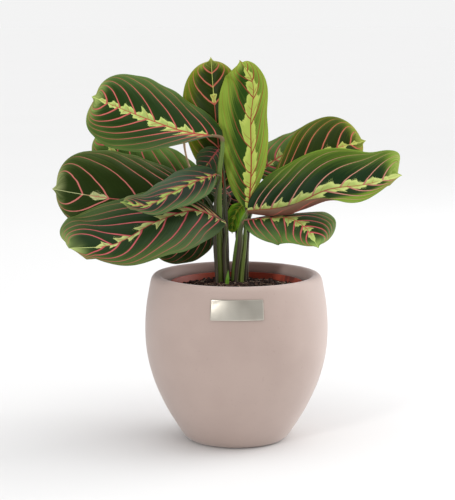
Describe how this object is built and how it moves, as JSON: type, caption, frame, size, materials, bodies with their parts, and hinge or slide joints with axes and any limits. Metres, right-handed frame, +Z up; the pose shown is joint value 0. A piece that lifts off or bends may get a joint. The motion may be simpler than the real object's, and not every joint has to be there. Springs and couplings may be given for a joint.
{
  "type": "potted prayer plant",
  "caption": "Prayer plant with herringbone-veined oval leaves on slim stalks, in a plastic nursery pot set inside a rounded matte ceramic cachepot with a bare metal plate.",
  "frame": {"origin": "middle of the cachepot's flat foot, on the surface it stands on", "axes": "+Z up through the pot, -Y towards the front with the plate, +X to the right seen from the front"},
  "size_m": [0.3044, 0.2114, 0.3397],
  "materials": {
    "matte_ceramic": "matte",
    "brushed_plate": "satin",
    "terracotta_plastic": "matte",
    "potting_soil": "matte",
    "leaf": "satin",
    "young_leaf": "satin",
    "dry_sheath": "matte",
    "dry_stalk": "matte"
  },
  "bodies": {
    "root": {"cachepot": "matte_ceramic", "label_plate": "brushed_plate", "nursery_pot": "terracotta_plastic", "potting_soil": "potting_soil", "leaf_upper_left": "leaf", "leaf_left": "leaf", "leaf_small_front": "leaf", "leaf_lower_left": "leaf", "leaf_low_back_left": "leaf", "leaf_top_left": "leaf", "leaf_top": "young_leaf", "leaf_back_left": "leaf", "leaf_right_back": "leaf", "leaf_far_right": "leaf", "leaf_right": "leaf", "leaf_lower_right": "leaf", "leaf_young_hanging": "young_leaf", "leaf_small_back": "leaf", "leaf_rear_left": "leaf", "leaf_rear_right": "leaf", "leaf_rear_middle": "leaf", "stem_sheath": "dry_sheath", "flower_stalk": "dry_stalk", "new_shoot": "young_leaf"}
  },
  "joints": []
}
